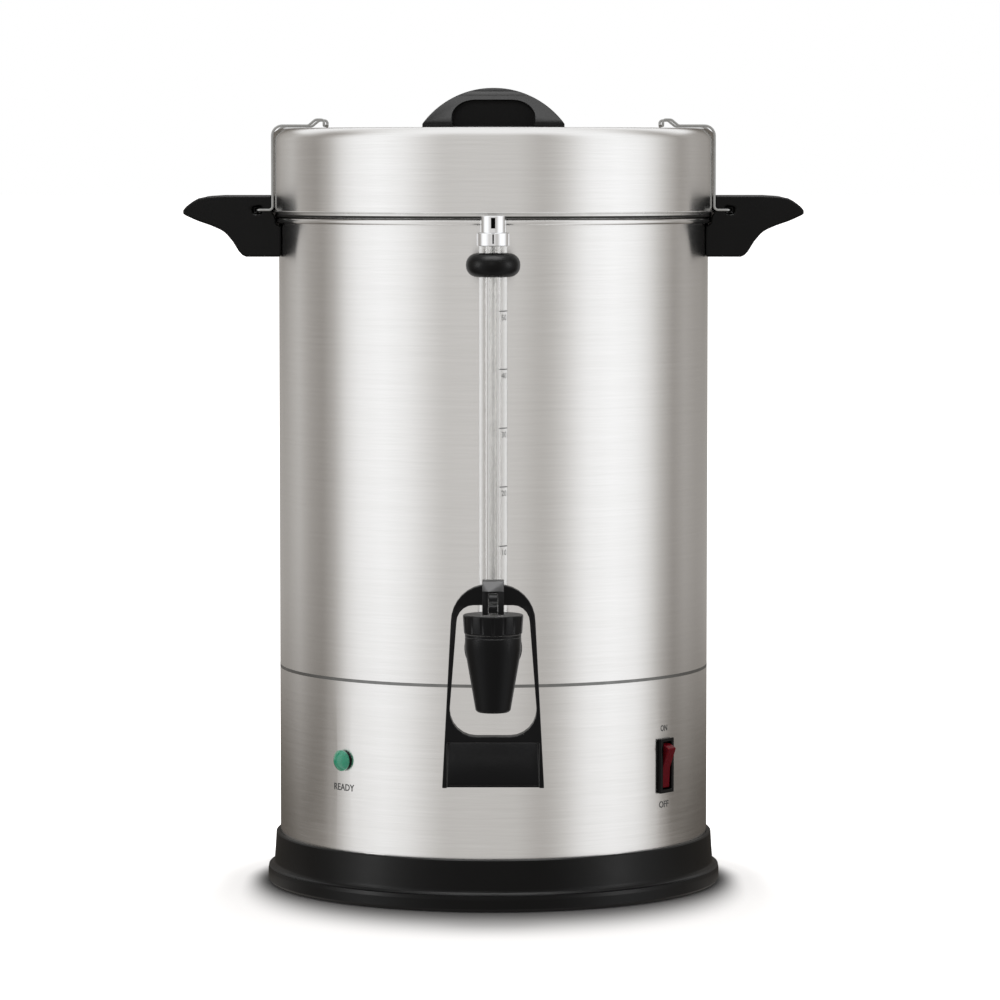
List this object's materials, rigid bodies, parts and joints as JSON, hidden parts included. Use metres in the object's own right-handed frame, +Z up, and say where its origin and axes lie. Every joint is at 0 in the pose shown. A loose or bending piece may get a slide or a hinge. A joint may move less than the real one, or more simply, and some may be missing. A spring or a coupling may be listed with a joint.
{
  "type": "coffee urn",
  "caption": "Percolating coffee urn: steel tank on a ring base, clamped lid, side handles, level gauge, stirrup tap, rocker switch and ready light.",
  "frame": {"origin": "on the tank's axis, at the level of the surface that the urn stands on", "axes": "+Z up along the tank's axis; the tap faces -Y; the rocker switch is on the +X side"},
  "size_m": [0.345, 0.308, 0.4448],
  "materials": {
    "black_plastic": "satin moulded",
    "tap_plastic": "semi-gloss moulded",
    "brushed_steel": "brushed round the axis",
    "plain_steel": "plain rolled",
    "screw_steel": "zinc plated",
    "wire_steel": "polished wire",
    "cap_chrome": "polished chrome",
    "heater_aluminium": "rolled",
    "element_sheath": "oxidised sheath",
    "black_rubber": "matte rubber",
    "valve_silicone": "soft silicone",
    "clear_tube": "clear, polished",
    "green_lens": "translucent green",
    "red_rocker": "translucent red",
    "terminal_brass": "plain stamped",
    "fuse_body": "pale sleeve",
    "cable_sleeve": "woven heat-proof sleeve"
  },
  "bodies": {
    "root": {"base_ring": "black_plastic", "foot_ring": "black_rubber", "bottom_plate": "plain_steel", "bottom_screws": "screw_steel", "lower_shell": "brushed_steel", "tank": "brushed_steel", "warmer_plate": "heater_aluminium", "heating_element": "element_sheath", "pump_heater": "heater_aluminium", "tie_rod": "screw_steel", "tie_nut": "screw_steel", "thermostat": "black_plastic", "thermal_fuse": "fuse_body", "wiring": "cable_sleeve", "light_lens": "green_lens", "light_body": "black_plastic", "switch_housing": "black_plastic", "switch_terminals": "terminal_brass", "power_inlet": "black_plastic", "inlet_pins": "terminal_brass", "inlet_screws": "screw_steel", "handle_left": "black_plastic", "handle_right": "black_plastic", "handle_screws": "screw_steel", "gauge_tube": "clear_tube", "gauge_holder": "black_rubber", "gauge_cap": "cap_chrome", "gauge_seal": "black_rubber", "tap_body": "tap_plastic", "tap_bonnet": "tap_plastic", "valve_spring": "wire_steel", "tap_gasket": "black_rubber", "tap_washer": "valve_silicone", "tap_nut": "plain_steel"},
    "lid_cover": {"lid": "brushed_steel", "lid_knob": "black_plastic", "knob_screw": "screw_steel", "knob_washer": "plain_steel"},
    "bail_l": {"bail_left": "wire_steel"},
    "bail_r": {"bail_right": "wire_steel"},
    "valve": {"valve_stem": "tap_plastic", "seat_cup": "valve_silicone", "lever_pin": "wire_steel"},
    "tap_lever": {"lever": "tap_plastic"},
    "rocker": {"switch_rocker": "red_rocker"},
    "percolator": {"pump_tube": "plain_steel", "pump_base": "plain_steel", "coffee_basket": "plain_steel", "basket_lid": "plain_steel"}
  },
  "joints": [
    {"name": "lid_lift", "type": "slide", "parent": "root", "child": "lid_cover", "axis": [0, 0, 1], "range_m": [0, 0.047]},
    {"name": "bail_left_swing", "type": "hinge", "parent": "root", "child": "bail_l", "pos_m": [-0.131, 0, 0.377], "axis": [0, -1, 0], "range_deg": [0, 190]},
    {"name": "bail_right_swing", "type": "hinge", "parent": "root", "child": "bail_r", "pos_m": [0.131, 0, 0.377], "axis": [0, 1, 0], "range_deg": [0, 190]},
    {"name": "valve_lift", "type": "slide", "parent": "root", "child": "valve", "axis": [0, 0, 1], "range_m": [0, 0.0024], "deforming": ["valve_spring"]},
    {"name": "lever_swing", "type": "hinge", "parent": "valve", "child": "tap_lever", "pos_m": [0, -0.165, 0.1721], "axis": [1, 0, 0], "range_deg": [0, 17], "stiffness_Nm_per_rad": 0.11, "springref_deg": -21.49},
    {"name": "rocker_rock", "type": "hinge", "parent": "root", "child": "rocker", "pos_m": [0.09156, -0.07283, 0.0735], "axis": [-0.6225, -0.7826, 0], "range_deg": [0, 24]},
    {"name": "percolator_lift", "type": "slide", "parent": "root", "child": "percolator", "axis": [0, 0, 1], "range_m": [0, 0.045]}
  ],
  "couplings": [
    {"joint": "bail_left_swing", "follows": "lid_lift", "rad_per_m": 70.5},
    {"joint": "bail_right_swing", "follows": "lid_lift", "rad_per_m": 70.5},
    {"joint": "valve_lift", "follows": "lever_swing", "m_per_rad": 0.008}
  ]
}
